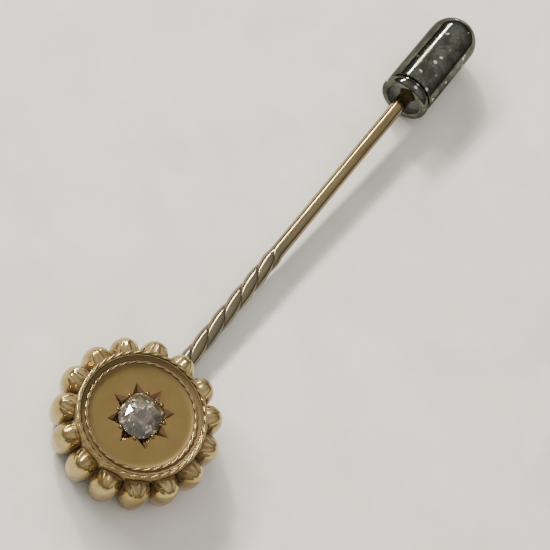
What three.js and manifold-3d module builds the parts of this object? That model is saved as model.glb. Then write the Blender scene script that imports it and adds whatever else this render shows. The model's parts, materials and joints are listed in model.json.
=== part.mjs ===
// Tie tack: a round jewelled gold head on a twisted pin stem, with a bullet clutch that
// grips the point by three balls in a cone and lets go when its cap is pulled back.
// Millimetres. While it is built the stem's axis is X, the head's centre is x = 0 and the
// face looks along +Z; the finished group is then set down on its bounding box's base.

import * as THREE from 'three';
import * as BufferGeometryUtils from 'three/addons/utils/BufferGeometryUtils.js';
import { ConvexGeometry } from 'three/addons/geometries/ConvexGeometry.js';
import Module from 'manifold-3d';

const wasm = await Module();
wasm.setup();

// ---- clearances ----
const SOLDER_GAP = 0.02; // between faces that are soldered, pressed or set together
const SLIDE_GAP = 0.04; // cap over collar
const BALL_GAP = 0.01; // balls to the stem and to the cone
const PIN_GAP = 0.13; // stem in the clutch's guide hole and cage bore

// ---- pin stem ----
const STEM_R = 0.65;
const TAIL_INSET = 1.94; // tail's end inside the back plate's edge
const TAIL_FLAT_END = 1.5;
const TAIL_RUNOUT = 0.1; // the tail's flat runs on past the back plate's edge
const TAIL_HALF_WIDTH = 0.85;
const TAIL_HALF_HEIGHT = 0.45;
const TAIL_LAND = 0.07; // how far the tail's flat lies below the wire's top
const TWIST_SET_OFF = 0.56; // the twist starts this far past the tail
const TWIST_LENGTH = 15.6;
const TWIST_BLEND = 1.2;
const TWIST_HALF_WIDTH = 0.77;
const TWIST_HALF_HEIGHT = 0.6;
const TWIST_PITCH = 4.9; // one full left-handed turn
const STEM_LENGTH = 49.2; // head centre to point
const POINT_LENGTH = 3.6;
const POINT_FULLNESS = 1.5; // over 1, the point's sides bulge

// ---- head: rings, plates and lobes ----
const DISC_R = 4.25; // matte disc inside the inner rope wire
const INNER_ROPE_R = 0.17;
const OUTER_ROPE_R = 0.19;
const CHANNEL_WIDTH = 0.29;
const CHANNEL_HEIGHT = 0.36;
const CHANNEL_SEAT = 0.06; // height of the channel ring's inner edge
const FACE_THICKNESS = 0.6;
const BAND_WALL = 0.4;
const BAND_HEIGHT = 3.55;
const PLATE_THICKNESS = 0.45;
const PLATE_PAD_R = 2.0; // soldering pad in the middle of the back plate
const LOBE_COUNT = 15;
const LOBE_STAND = 0.51; // lobe axis outside the band
const LOBE_SIDE_GAP = 0.012;
const LOBE_WALL = 0.32;
const LOBE_TOP_DROP = 0.2; // lobe's top below the rim
const LOBE_TAIL = 0.8; // lobe's end below the back plate
const GROOVE_COUNT = 4;
const GROOVE_FAN = THREE.MathUtils.degToRad(17);
const GROOVE_DEPTH = 0.17;
const GROOVE_HALF_WIDTH = 0.15;

// ---- diamond and its star setting ----
const STONE_HALF_X = 1.85;
const STONE_HALF_Y = 1.75;
const STONE_SQUARENESS = 2.5; // exponent of the cushion outline; 2 is an ellipse
const STONE_SET = 0.05; // girdle below the disc's face
const STONE_GAP = 0.03;
const GIRDLE_HALF = 0.05;
const CROWN_HEIGHT = 0.68;
const PAVILION_DEPTH = 1.5;
const RAY_COUNT = 8;
const RAY_REACH = 0.95; // ray's tip beyond the stone
const RAY_HALF_WIDTH = 0.5;
const RAY_DEPTH = 0.4;
const GRAIN_R = 0.2;

// ---- clutch ----
const POINT_REACH = 7.5; // the point behind the clutch's mouth, at rest
const BALL_R = 0.45;
const BALL_COUNT = 3;
const BALL_U = 3.0; // ball centres behind the mouth
const CONE_ANGLE = THREE.MathUtils.degToRad(16);
const PULL = 0.8; // travel of the cap
const RECESS_DEPTH = 0.9;
const RECESS_WALL = 0.31; // flange outside the mouth recess
const GUIDE_THICKNESS = 0.6;
const FLANGE_LENGTH = 0.95;
const FLANGE_STAND = 0.05; // flange proud of the cap
const FLANGE_ROUND = 0.3;
const COLLAR_WALL = 0.16;
const COLLAR_LENGTH = 7.6;
const CAP_GAP = 0.25; // groove between flange and cap
const CAP_WALL = 0.3;
const CAP_LENGTH = 9.6;
const CAP_LIP = 0.12;
const NOSE_WALL = 1.08;
const NOSE_SOCKET = 1.5; // how far the cage is pressed into the nose
const BALL_STAND = 0.36; // how far the balls stand out of the cage
const CAGE_START = 2.1;
const HOLE_GAP = 0.02; // ball in its hole in the cage
const SHOULDER_START = 4.35;
const SHOULDER_LENGTH = 0.3;
const SHOULDER_STAND = 0.3;
const WASHER_THICKNESS = 0.18;
const WASHER_GAP = 0.05;
const END_RING_LENGTH = 0.38;
const END_RING_GAP = 0.08;
const SPRING_WIRE_R = 0.1;
const SPRING_TURNS = 5;

// ---- fineness of the faceted shapes ----
const WIRE_SIDES = 14;
const TWIST_STEP = 0.5;
const RING_SIDES = 48;
const ROPE_SIDES = 6;
const LOBE_SIDES = 10;
const LOBE_ROWS = 7;
const LOBE_HOLLOW_ROWS = 4;
const CLUTCH_SIDES = 28;
const ARC_STEPS = 5;
const SPRING_STEPS = 12;
const SPRING_SIDES = 3; // per half turn of the wire's section

// ---- sizes that follow from the ones above ----
const TAIL_TOP = STEM_R - TAIL_LAND;
const PLATE_Z = TAIL_TOP + SOLDER_GAP;
const BAND_Z = PLATE_Z + PLATE_THICKNESS + SOLDER_GAP;
const RIM_Z = BAND_Z + BAND_HEIGHT;
const FACE_Z = RIM_Z - CHANNEL_HEIGHT;
const INNER_ROPE_TRACK = DISC_R + SOLDER_GAP + INNER_ROPE_R;
const CHANNEL_IN = INNER_ROPE_TRACK + INNER_ROPE_R + SOLDER_GAP;
const CHANNEL_OUT = CHANNEL_IN + CHANNEL_WIDTH;
const BAND_IN = CHANNEL_OUT + SOLDER_GAP;
const BAND_OUT = BAND_IN + BAND_WALL;
const OUTER_ROPE_TRACK = (BAND_IN + BAND_OUT) / 2;
const TAIL_START = TAIL_INSET - BAND_OUT;
const TAIL_ROUND = BAND_OUT + TAIL_RUNOUT;
const TWIST_START = TAIL_ROUND + TWIST_SET_OFF;
const TWIST_END = TWIST_START + TWIST_LENGTH;
const LOBE_TRACK = BAND_OUT + LOBE_STAND;
const LOBE_R = LOBE_TRACK * Math.sin(Math.PI / LOBE_COUNT) - LOBE_SIDE_GAP;
const LOBE_TOP = RIM_Z - LOBE_TOP_DROP;
const LOBE_BOTTOM = PLATE_Z - LOBE_TAIL;
const LOBE_FILED_Z = TWIST_HALF_WIDTH + SLIDE_GAP;
const GIRDLE_Z = FACE_Z - STONE_SET;
const RAY_TIP_R = STONE_HALF_X + RAY_REACH;
const MOUTH_X = STEM_LENGTH - POINT_REACH;
const GUIDE_R = STEM_R + PIN_GAP;
const BALL_SEAT = STEM_R + BALL_GAP + BALL_R;
const COLLAR_IN = BALL_SEAT + PULL * Math.tan(CONE_ANGLE) + BALL_R + BALL_GAP;
const COLLAR_OUT = COLLAR_IN + COLLAR_WALL;
const CAP_IN = COLLAR_OUT + SLIDE_GAP;
const CAP_OUT = CAP_IN + CAP_WALL;
const FLANGE_R = CAP_OUT + FLANGE_STAND;
const RECESS_R = COLLAR_OUT - RECESS_WALL;
const CAP_START = FLANGE_LENGTH + CAP_GAP;
const CAP_END = CAP_START + CAP_LENGTH;
const CAGE_OUT = BALL_SEAT + BALL_R - BALL_STAND;
const CAGE_END = CAP_END - NOSE_WALL - SOLDER_GAP;
const SOCKET_START = CAGE_END - NOSE_SOCKET;
const WASHER_START = SHOULDER_START + SHOULDER_LENGTH + SOLDER_GAP;
const SPRING_START = WASHER_START + WASHER_THICKNESS + SOLDER_GAP;
const END_RING_START = COLLAR_LENGTH - END_RING_LENGTH;
const SPRING_END = END_RING_START - SOLDER_GAP;

// ---- finishes ----
const gold = { color: 0xc08a35, roughness: 0.32, metalness: 1 };
const matteGold = { color: 0xa67a2c, roughness: 0.65, metalness: 1 };
const wireGold = { color: 0xb59a63, roughness: 0.28, metalness: 1 };
const diamond = { color: 0xdfe4e8, roughness: 0.02, metalness: 0 };
const nickel = { color: 0x6c6c64, roughness: 0.22, metalness: 1 };
const steel = { color: 0x9a9a98, roughness: 0.3, metalness: 1 };

const tack = new THREE.Group();

// ---- helpers ----

// One closed solid with shared corners and faces pointing out.
function closed(geometry) {
  geometry.deleteAttribute('normal');
  geometry.deleteAttribute('uv');
  const merged = BufferGeometryUtils.mergeVertices(geometry, 1e-5);
  const places = merged.attributes.position.array;
  const corners = [];
  for (let i = 0; i < merged.index.count; i += 3) {
    const [a, b, c] = merged.index.array.slice(i, i + 3);
    if (a !== b && b !== c && c !== a) {
      corners.push(a, b, c);
    }
  }
  if (signedVolume(places, corners) < 0) {
    corners.reverse();
  }
  merged.setIndex(corners);
  return merged;
}

function signedVolume(places, corners) {
  const at = (i) => new THREE.Vector3().fromArray(places, 3 * i);
  let volume = 0;
  for (let i = 0; i < corners.length; i += 3) {
    volume += at(corners[i]).dot(at(corners[i + 1]).cross(at(corners[i + 2])));
  }
  return volume / 6;
}

function toSolid(geometry) {
  const clean = closed(geometry);
  const triVerts = Uint32Array.from(clean.index.array);
  const vertProperties = Float32Array.from(clean.attributes.position.array);
  return new wasm.Manifold(new wasm.Mesh({ numProp: 3, vertProperties, triVerts }));
}

function toGeometry(solid) {
  const { vertProperties, triVerts } = solid.getMesh();
  const geometry = new THREE.BufferGeometry();
  geometry.setAttribute('position', new THREE.BufferAttribute(vertProperties, 3));
  geometry.setIndex(new THREE.BufferAttribute(triVerts, 1));
  return geometry;
}

function addPiece(name, geometry, finish) {
  const shown = geometry.toNonIndexed();
  shown.computeVertexNormals();
  const mesh = new THREE.Mesh(shown, new THREE.MeshStandardMaterial(finish));
  mesh.name = name;
  tack.add(mesh);
  return mesh;
}

const smooth = (x, low, high) => THREE.MathUtils.smoothstep(x, low, high);

const mix = THREE.MathUtils.lerp;

// A turned shape about Z from [radius, height] pairs.
function turnedAboutZ(profile, sides) {
  const points = profile.map(([r, z]) => new THREE.Vector2(r, z));
  const geometry = new THREE.LatheGeometry(points, sides);
  geometry.rotateX(Math.PI / 2);
  return geometry;
}

// A turned clutch piece about the stem's axis from [radius, distance behind the mouth] pairs.
function turnedAboutStem(profile) {
  const points = profile.map(([r, u]) => new THREE.Vector2(r, u));
  const geometry = new THREE.LatheGeometry(points, CLUTCH_SIDES);
  geometry.rotateZ(-Math.PI / 2);
  geometry.translate(MOUTH_X, 0, 0);
  return geometry;
}

// A quarter-circle or other arc as [radius, height] pairs.
function arc(centreR, centreZ, radius, from, to) {
  const pairs = [];
  for (let i = 0; i <= ARC_STEPS; i += 1) {
    const angle = mix(from, to, i / ARC_STEPS);
    pairs.push([centreR + radius * Math.cos(angle), centreZ + radius * Math.sin(angle)]);
  }
  return pairs;
}

function rectangleRing(inner, outer, low, high) {
  return [
    [inner, low],
    [outer, low],
    [outer, high],
    [inner, high],
    [inner, low],
  ];
}

// ---- pin stem ----

// Half width, half height, lift and turn of the wire's section at a place along it.
function stemSection(x) {
  const flat = 1 - smooth(x, TAIL_FLAT_END, TAIL_ROUND);
  const twistIn = smooth(x, TWIST_START, TWIST_START + TWIST_BLEND);
  const twistOut = 1 - smooth(x, TWIST_END - TWIST_BLEND, TWIST_END);
  const twisted = twistIn * twistOut;
  const along = THREE.MathUtils.clamp(x, TWIST_START, TWIST_END) - TWIST_START;
  const roundWidth = mix(STEM_R, TWIST_HALF_WIDTH, twisted);
  const roundHeight = mix(STEM_R, TWIST_HALF_HEIGHT, twisted);
  return {
    halfWidth: mix(roundWidth, TAIL_HALF_WIDTH, flat),
    halfHeight: mix(roundHeight, TAIL_HALF_HEIGHT, flat),
    lift: flat * (STEM_R - TAIL_HALF_HEIGHT),
    turn: (-2 * Math.PI * along) / TWIST_PITCH,
  };
}

function stemStations() {
  const stations = [];
  for (let x = TAIL_START; x < TAIL_ROUND; x += 1) {
    stations.push(x);
  }
  for (let x = TAIL_ROUND; x < TWIST_END + TWIST_STEP; x += TWIST_STEP) {
    stations.push(x);
  }
  return stations;
}

function stemGeometry() {
  const profile = [[0, TAIL_START]];
  for (const x of stemStations()) {
    profile.push([1, x]);
  }
  const pointStart = STEM_LENGTH - POINT_LENGTH;
  for (let i = 0; i <= ARC_STEPS; i += 1) {
    const part = i / ARC_STEPS;
    profile.push([1 - part ** POINT_FULLNESS, pointStart + part * POINT_LENGTH]);
  }
  const points = profile.map(([r, x]) => new THREE.Vector2(r, x));
  const geometry = new THREE.LatheGeometry(points, WIRE_SIDES);
  geometry.rotateZ(-Math.PI / 2);
  const place = geometry.attributes.position;
  for (let i = 0; i < place.count; i += 1) {
    const x = place.getX(i);
    const { halfWidth, halfHeight, lift, turn } = stemSection(x);
    const flatY = place.getY(i) * halfWidth;
    const flatZ = place.getZ(i) * halfHeight;
    const y = flatY * Math.cos(turn) - flatZ * Math.sin(turn);
    const z = flatY * Math.sin(turn) + flatZ * Math.cos(turn) + lift;
    const roof = x < TAIL_ROUND + TAIL_RUNOUT / 2 ? TAIL_TOP : Infinity;
    place.setXYZ(i, x, y, Math.min(z, roof));
  }
  return closed(geometry);
}

// ---- diamond ----

// A ring of corners on the cushion outline; grow widens it by a clearance.
function cushionRing(count, scale, z, grow) {
  const corners = [];
  for (let i = 0; i < count; i += 1) {
    const angle = ((i + 0.5) / count) * 2 * Math.PI;
    const c = Math.cos(angle);
    const s = Math.sin(angle);
    const power = STONE_SQUARENESS;
    const reach = (Math.abs(c) ** power + Math.abs(s) ** power) ** (-1 / power);
    const x = (STONE_HALF_X + grow) * scale * reach * c;
    const y = (STONE_HALF_Y + grow) * scale * reach * s;
    corners.push(new THREE.Vector3(x, y, z));
  }
  return corners;
}

function stoneGeometry(grow) {
  const corners = [
    ...cushionRing(8, 0.5, GIRDLE_Z + CROWN_HEIGHT + grow, grow),
    ...cushionRing(8, 0.79, GIRDLE_Z + 0.62 * CROWN_HEIGHT + grow, grow),
    ...cushionRing(16, 1, GIRDLE_Z + GIRDLE_HALF + grow, grow),
    ...cushionRing(16, 1, GIRDLE_Z - GIRDLE_HALF - grow, grow),
    ...cushionRing(8, 0.56, GIRDLE_Z - 0.6 * PAVILION_DEPTH - grow, grow),
    ...cushionRing(8, 0.1, GIRDLE_Z - PAVILION_DEPTH - grow, grow),
  ];
  return new ConvexGeometry(corners);
}

// ---- face disc with its bright-cut star ----

function rayCut(angle) {
  const top = FACE_Z + GRAIN_R;
  const root = STONE_HALF_X * 0.75;
  const spread = (RAY_HALF_WIDTH * (RAY_DEPTH + GRAIN_R)) / RAY_DEPTH;
  const geometry = new ConvexGeometry([
    new THREE.Vector3(root, spread, top),
    new THREE.Vector3(root, -spread, top),
    new THREE.Vector3(RAY_TIP_R + spread, 0, top),
    new THREE.Vector3(root, 0, FACE_Z - RAY_DEPTH),
  ]);
  geometry.rotateZ(angle);
  return toSolid(geometry);
}

function grain(angle) {
  const c = Math.cos(angle);
  const s = Math.sin(angle);
  const power = STONE_SQUARENESS;
  const reach = (Math.abs(c) ** power + Math.abs(s) ** power) ** (-1 / power);
  const geometry = new THREE.SphereGeometry(GRAIN_R, 8, 6);
  const x = (STONE_HALF_X * reach + GRAIN_R / 2) * c;
  const y = (STONE_HALF_Y * reach + GRAIN_R / 2) * s;
  geometry.translate(x, y, FACE_Z);
  return toSolid(geometry);
}

function faceGeometry() {
  const profile = [
    [0, FACE_Z - FACE_THICKNESS],
    [CHANNEL_OUT, FACE_Z - FACE_THICKNESS],
    [CHANNEL_OUT, FACE_Z],
    [0, FACE_Z],
  ];
  const well = new THREE.ExtrudeGeometry(
    new THREE.Shape(cushionRing(16, 1, 0, STONE_GAP)),
    { depth: STONE_SET + GRAIN_R, bevelEnabled: false },
  );
  well.translate(0, 0, GIRDLE_Z);
  let face = toSolid(turnedAboutZ(profile, RING_SIDES)).subtract(toSolid(well));
  for (let i = 0; i < RAY_COUNT; i += 1) {
    face = face.subtract(rayCut((i / RAY_COUNT) * 2 * Math.PI));
  }
  for (let i = 0; i < RAY_COUNT; i += 1) {
    face = face.add(grain(((i + 0.5) / RAY_COUNT) * 2 * Math.PI));
  }
  return toGeometry(face.subtract(toSolid(stoneGeometry(STONE_GAP))));
}

// ---- rings, band and back plate ----

function ropeGeometry(track, wireR, restZ) {
  const geometry = new THREE.TorusGeometry(track, wireR, ROPE_SIDES, RING_SIDES);
  geometry.translate(0, 0, restZ + SOLDER_GAP + wireR);
  return closed(geometry);
}

function channelGeometry() {
  const low = FACE_Z + SOLDER_GAP;
  const hollow = [];
  for (let i = 0; i <= ARC_STEPS; i += 1) {
    const part = i / ARC_STEPS;
    const rise = 1 - Math.cos((part * Math.PI) / 2);
    const r = mix(CHANNEL_IN, CHANNEL_OUT, part);
    hollow.push([r, mix(low + CHANNEL_SEAT, RIM_Z, rise)]);
  }
  hollow.reverse();
  const profile = [[CHANNEL_IN, low], [CHANNEL_OUT, low], ...hollow, [CHANNEL_IN, low]];
  return closed(turnedAboutZ(profile, RING_SIDES));
}

function bandGeometry() {
  return closed(turnedAboutZ(rectangleRing(BAND_IN, BAND_OUT, BAND_Z, RIM_Z), RING_SIDES));
}

function backPlateGeometry() {
  const top = PLATE_Z + PLATE_THICKNESS;
  const profile = [
    [0, PLATE_Z],
    [PLATE_PAD_R, PLATE_Z],
    [BAND_OUT, PLATE_Z],
    [BAND_OUT, top],
    [0, top],
  ];
  return closed(turnedAboutZ(profile, RING_SIDES));
}

// ---- lobes ----

// The egg outline of a lobe, shrunk all round by an inset.
function lobeProfile(inset, rows) {
  const radius = LOBE_R - inset;
  const high = LOBE_TOP - inset;
  const low = LOBE_BOTTOM + inset;
  const waist = mix(low, high, 0.62);
  const profile = [];
  for (let i = 0; i <= rows; i += 1) {
    const angle = mix(-Math.PI / 2, Math.PI / 2, i / rows);
    const lift = Math.sin(angle);
    const reach = lift < 0 ? Math.cos(angle) ** 0.72 : Math.cos(angle) ** 0.85;
    profile.push([radius * reach, waist + lift * (lift < 0 ? waist - low : high - waist)]);
  }
  profile[0][0] = 0;
  profile[rows][0] = 0;
  return profile;
}

function lobeEgg(inset, rows) {
  const geometry = turnedAboutZ(lobeProfile(inset, rows), LOBE_SIDES);
  geometry.translate(LOBE_TRACK, 0, 0);
  return toSolid(geometry);
}

// A V groove across the lobe's top, fanned about the lobe's outer edge.
function grooveCut(fan) {
  const inner = BAND_OUT - LOBE_TRACK - LOBE_R;
  const drop = GROOVE_DEPTH * 2;
  const height = LOBE_R;
  const spread = (GROOVE_HALF_WIDTH * height) / GROOVE_DEPTH;
  const bottom = LOBE_TOP - GROOVE_DEPTH;
  const geometry = new ConvexGeometry([
    new THREE.Vector3(inner, spread, bottom + height),
    new THREE.Vector3(inner, -spread, bottom + height),
    new THREE.Vector3(inner, 0, bottom),
    new THREE.Vector3(0, spread, bottom + height - drop),
    new THREE.Vector3(0, -spread, bottom + height - drop),
    new THREE.Vector3(0, 0, bottom - drop),
  ]);
  geometry.rotateZ(fan);
  geometry.translate(LOBE_TRACK + LOBE_R, 0, 0);
  return toSolid(geometry);
}

// A struck hollow lobe, open towards the band; the one over the stem is filed short.
function lobeGeometry(overStem) {
  const reach = LOBE_TOP - LOBE_BOTTOM;
  const bandRoom = new THREE.CylinderGeometry(
    BAND_OUT + SOLDER_GAP,
    BAND_OUT + SOLDER_GAP,
    2 * reach,
    RING_SIDES,
  );
  bandRoom.rotateX(Math.PI / 2);
  bandRoom.translate(0, 0, LOBE_BOTTOM + reach / 2);
  let lobe = lobeEgg(0, LOBE_ROWS);
  lobe = lobe.subtract(lobeEgg(LOBE_WALL, LOBE_HOLLOW_ROWS));
  lobe = lobe.subtract(toSolid(bandRoom));
  for (let i = 0; i < GROOVE_COUNT; i += 1) {
    lobe = lobe.subtract(grooveCut((i - (GROOVE_COUNT - 1) / 2) * GROOVE_FAN));
  }
  if (overStem) {
    const filedOff = new THREE.BoxGeometry(4 * LOBE_R, 4 * LOBE_R, reach);
    filedOff.translate(LOBE_TRACK, 0, LOBE_FILED_Z - reach / 2);
    lobe = lobe.subtract(toSolid(filedOff));
  }
  return toGeometry(lobe);
}

function addLobes() {
  const whole = lobeGeometry(false);
  const filed = lobeGeometry(true);
  for (let i = 0; i < LOBE_COUNT; i += 1) {
    const number = String(i + 1).padStart(2, '0');
    const lobe = addPiece(`lobe_${number}`, i === 0 ? filed : whole, gold);
    lobe.rotation.z = (i / LOBE_COUNT) * 2 * Math.PI;
  }
}

// ---- clutch ----

function collarGeometry() {
  const edge = FLANGE_R - FLANGE_ROUND;
  const contactU = BALL_U - (BALL_R + BALL_GAP) * Math.sin(CONE_ANGLE);
  const contactR = BALL_SEAT + (BALL_R + BALL_GAP) * Math.cos(CONE_ANGLE);
  const coneStart = RECESS_DEPTH + GUIDE_THICKNESS;
  const coneStartR = contactR - (contactU - coneStart) * Math.tan(CONE_ANGLE);
  const coneEnd = contactU + (COLLAR_IN - contactR) / Math.tan(CONE_ANGLE);
  const profile = [
    [RECESS_R, 0],
    ...arc(edge, FLANGE_ROUND, FLANGE_ROUND, -Math.PI / 2, 0),
    ...arc(edge, FLANGE_LENGTH - FLANGE_ROUND, FLANGE_ROUND, 0, Math.PI / 2),
    [COLLAR_OUT, FLANGE_LENGTH],
    [COLLAR_OUT, COLLAR_LENGTH],
    [COLLAR_IN, COLLAR_LENGTH],
    [COLLAR_IN, coneEnd],
    [coneStartR, coneStart],
    [GUIDE_R, coneStart],
    [GUIDE_R, RECESS_DEPTH],
    [RECESS_R, RECESS_DEPTH],
    [RECESS_R, 0],
  ];
  return closed(turnedAboutStem(profile));
}

function capGeometry() {
  const domeU = CAP_END - CAP_OUT;
  const profile = [
    [0, CAGE_END + SOLDER_GAP],
    [CAGE_OUT + SOLDER_GAP, CAGE_END + SOLDER_GAP],
    [CAGE_OUT + SOLDER_GAP, SOCKET_START],
    [CAP_IN, SOCKET_START],
    [CAP_IN, CAP_START],
    ...arc(CAP_OUT - CAP_LIP, CAP_START + CAP_LIP, CAP_LIP, -Math.PI / 2, 0),
    ...arc(0, domeU, CAP_OUT, 0, Math.PI / 2),
  ];
  profile[profile.length - 1][0] = 0;
  return closed(turnedAboutStem(profile));
}

function cageGeometry() {
  const shoulderR = CAGE_OUT + SHOULDER_STAND;
  const profile = [
    [GUIDE_R, CAGE_START],
    [CAGE_OUT, CAGE_START],
    [CAGE_OUT, SHOULDER_START],
    [shoulderR, SHOULDER_START],
    [shoulderR, SHOULDER_START + SHOULDER_LENGTH],
    [CAGE_OUT, SHOULDER_START + SHOULDER_LENGTH],
    [CAGE_OUT, CAGE_END],
    [GUIDE_R, CAGE_END],
    [GUIDE_R, CAGE_START],
  ];
  let cage = toSolid(turnedAboutStem(profile));
  for (let i = 0; i < BALL_COUNT; i += 1) {
    const hole = new THREE.CylinderGeometry(
      BALL_R + HOLE_GAP,
      BALL_R + HOLE_GAP,
      CAGE_OUT + SHOULDER_STAND,
      WIRE_SIDES,
    );
    hole.translate(0, (CAGE_OUT + SHOULDER_STAND) / 2, 0);
    hole.rotateX((i / BALL_COUNT) * 2 * Math.PI);
    hole.translate(MOUTH_X + BALL_U, 0, 0);
    cage = cage.subtract(toSolid(hole));
  }
  return toGeometry(cage);
}

function ballGeometry(index) {
  const geometry = new THREE.SphereGeometry(BALL_R, 12, 8);
  geometry.translate(0, BALL_SEAT, 0);
  geometry.rotateX((index / BALL_COUNT) * 2 * Math.PI);
  geometry.translate(MOUTH_X + BALL_U, 0, 0);
  return closed(geometry);
}

function washerGeometry() {
  const inner = CAGE_OUT + WASHER_GAP;
  const outer = COLLAR_IN - WASHER_GAP;
  const end = WASHER_START + WASHER_THICKNESS;
  return closed(turnedAboutStem(rectangleRing(inner, outer, WASHER_START, end)));
}

function endRingGeometry() {
  const inner = CAGE_OUT + END_RING_GAP;
  const outer = COLLAR_IN - SOLDER_GAP;
  return closed(turnedAboutStem(rectangleRing(inner, outer, END_RING_START, COLLAR_LENGTH)));
}

class Helix extends THREE.Curve {
  getPoint(part) {
    const angle = part * SPRING_TURNS * 2 * Math.PI;
    const coilR = (CAGE_OUT + COLLAR_IN) / 2;
    const start = MOUTH_X + SPRING_START + SPRING_WIRE_R;
    const end = MOUTH_X + SPRING_END - SPRING_WIRE_R;
    const x = mix(start, end, part);
    return new THREE.Vector3(x, coilR * Math.cos(angle), coilR * Math.sin(angle));
  }
}

function springGeometry() {
  const section = new THREE.Shape();
  section.absarc(0, 0, SPRING_WIRE_R, 0, 2 * Math.PI);
  const geometry = new THREE.ExtrudeGeometry(section, {
    steps: SPRING_TURNS * SPRING_STEPS,
    curveSegments: SPRING_SIDES,
    extrudePath: new Helix(),
    bevelEnabled: false,
  });
  return closed(geometry);
}

// ---- the tack ----

addPiece('pin_stem', stemGeometry(), wireGold);
addPiece('face_disc', faceGeometry(), matteGold);
addPiece('diamond', closed(stoneGeometry(0)), diamond);
addPiece('inner_rope_wire', ropeGeometry(INNER_ROPE_TRACK, INNER_ROPE_R, FACE_Z), gold);
addPiece('channel_ring', channelGeometry(), gold);
addPiece('outer_rope_wire', ropeGeometry(OUTER_ROPE_TRACK, OUTER_ROPE_R, RIM_Z), gold);
addPiece('gallery_band', bandGeometry(), gold);
addPiece('back_plate', backPlateGeometry(), gold);
addLobes();
addPiece('clutch_collar', collarGeometry(), nickel);
addPiece('collar_end_ring', endRingGeometry(), steel);
addPiece('ball_cage', cageGeometry(), steel);
for (let i = 0; i < BALL_COUNT; i += 1) {
  addPiece(`grip_ball_${i + 1}`, ballGeometry(i), steel);
}
addPiece('spring_washer', washerGeometry(), steel);
addPiece('clutch_spring', springGeometry(), steel);
addPiece('clutch_cap', capGeometry(), nickel);

const box = new THREE.Box3().setFromObject(tack);
const middle = box.getCenter(new THREE.Vector3());
tack.position.set(-middle.x, -middle.y, -box.min.z);

export default tack;
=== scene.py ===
"""A jewelled gold stick pin with its bullet clutch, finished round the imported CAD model.

Every form is modelled in millimetres from the middle of the head, with the stem along X
and the face towards +Z, and is set down in the frame, in metres, when it is finished.
"""

import json
import math
import random

import bmesh
import bpy
from mathutils import Matrix, Vector


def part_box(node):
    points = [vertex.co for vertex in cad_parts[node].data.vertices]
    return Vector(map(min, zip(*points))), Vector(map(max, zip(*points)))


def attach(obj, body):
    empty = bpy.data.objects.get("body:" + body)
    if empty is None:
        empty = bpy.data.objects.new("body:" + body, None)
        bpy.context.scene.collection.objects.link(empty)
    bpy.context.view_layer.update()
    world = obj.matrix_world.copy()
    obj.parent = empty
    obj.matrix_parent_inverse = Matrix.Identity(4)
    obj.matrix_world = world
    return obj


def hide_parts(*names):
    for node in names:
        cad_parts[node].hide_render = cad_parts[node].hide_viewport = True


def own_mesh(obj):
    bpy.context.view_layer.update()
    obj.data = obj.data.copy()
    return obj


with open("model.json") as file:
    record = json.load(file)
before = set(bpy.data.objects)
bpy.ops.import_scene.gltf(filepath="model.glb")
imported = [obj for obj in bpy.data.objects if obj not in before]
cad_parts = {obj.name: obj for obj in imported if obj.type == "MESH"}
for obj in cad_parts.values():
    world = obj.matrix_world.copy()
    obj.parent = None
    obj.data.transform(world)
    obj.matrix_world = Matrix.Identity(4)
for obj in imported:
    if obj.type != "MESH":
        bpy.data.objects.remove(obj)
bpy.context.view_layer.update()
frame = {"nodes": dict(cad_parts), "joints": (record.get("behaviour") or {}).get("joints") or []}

MM = 0.001
FULL_TURN = 2 * math.pi
RIGHT_ANGLE = math.pi / 2

# ---- where the head sits in the frame, and the sizes that the CAD solids give ----
band_low, band_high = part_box("gallery_band")
cap_low, cap_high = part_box("clutch_cap")
HEAD = Vector(((band_low.x + band_high.x) / 2, 0, (cap_low.z + cap_high.z) / 2))
PLACE = Matrix.Translation(HEAD) @ Matrix.Scale(MM, 4)


def extents(node):
    """A CAD node's lowest and highest corners, in millimetres from the middle of the head."""
    low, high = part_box(node)
    return (low - HEAD) / MM, (high - HEAD) / MM


PIN_LOW, PIN_HIGH = extents("pin_stem")
PLATE_LOW, PLATE_HIGH = extents("back_plate")
BAND_LOW, BAND_HIGH = extents("gallery_band")
DISC_LOW, DISC_HIGH = extents("face_disc")
STONE_LOW, STONE_HIGH = extents("diamond")
INNER_LOW, INNER_HIGH = extents("inner_rope_wire")
OUTER_LOW, OUTER_HIGH = extents("outer_rope_wire")
CHANNEL_LOW, CHANNEL_HIGH = extents("channel_ring")
COLLAR_LOW, COLLAR_HIGH = extents("clutch_collar")
CAP_LOW, CAP_HIGH = extents("clutch_cap")
SPRING_LOW, SPRING_HIGH = extents("clutch_spring")
_, CAGE_HIGH = extents("ball_cage")

GAP = 0.02  # between parts that are soldered or pressed together
BAND_OUT = BAND_HIGH.x
BAND_IN = CHANNEL_HIGH.x + GAP
RIM_Z = BAND_HIGH.z
FACE_Z = CHANNEL_LOW.z - GAP
DISC_OUT = DISC_HIGH.x

# ---- stem ----
STEM_R = 0.65
TAIL_HALF_WIDTH = 0.85
TAIL_HALF_HEIGHT = 0.45
TAIL_FLAT_END = 1.5
TAIL_ROUND = BAND_OUT + 0.1
TAIL_END_ROUND = 0.5
TAIL_NARROWING = 0.8
TAIL_TOP = PLATE_LOW.z - GAP
TWIST_START = TAIL_ROUND + 0.56
TWIST_LENGTH = 15.6
TWIST_END = TWIST_START + TWIST_LENGTH
TWIST_BLEND = 1.2
TWIST_CREST = 0.77
TWIST_WAIST = 0.59
TWIST_FULLNESS = 0.6
TWIST_PITCH = 4.9
CREASE_WIDTH = 1.5  # a higher power paints shade in a narrower crease
POINT_LENGTH = 3.6
POINT_FULLNESS = 1.5
STEM_END = PIN_HIGH.x
WIRE_SIDES = 40

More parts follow.
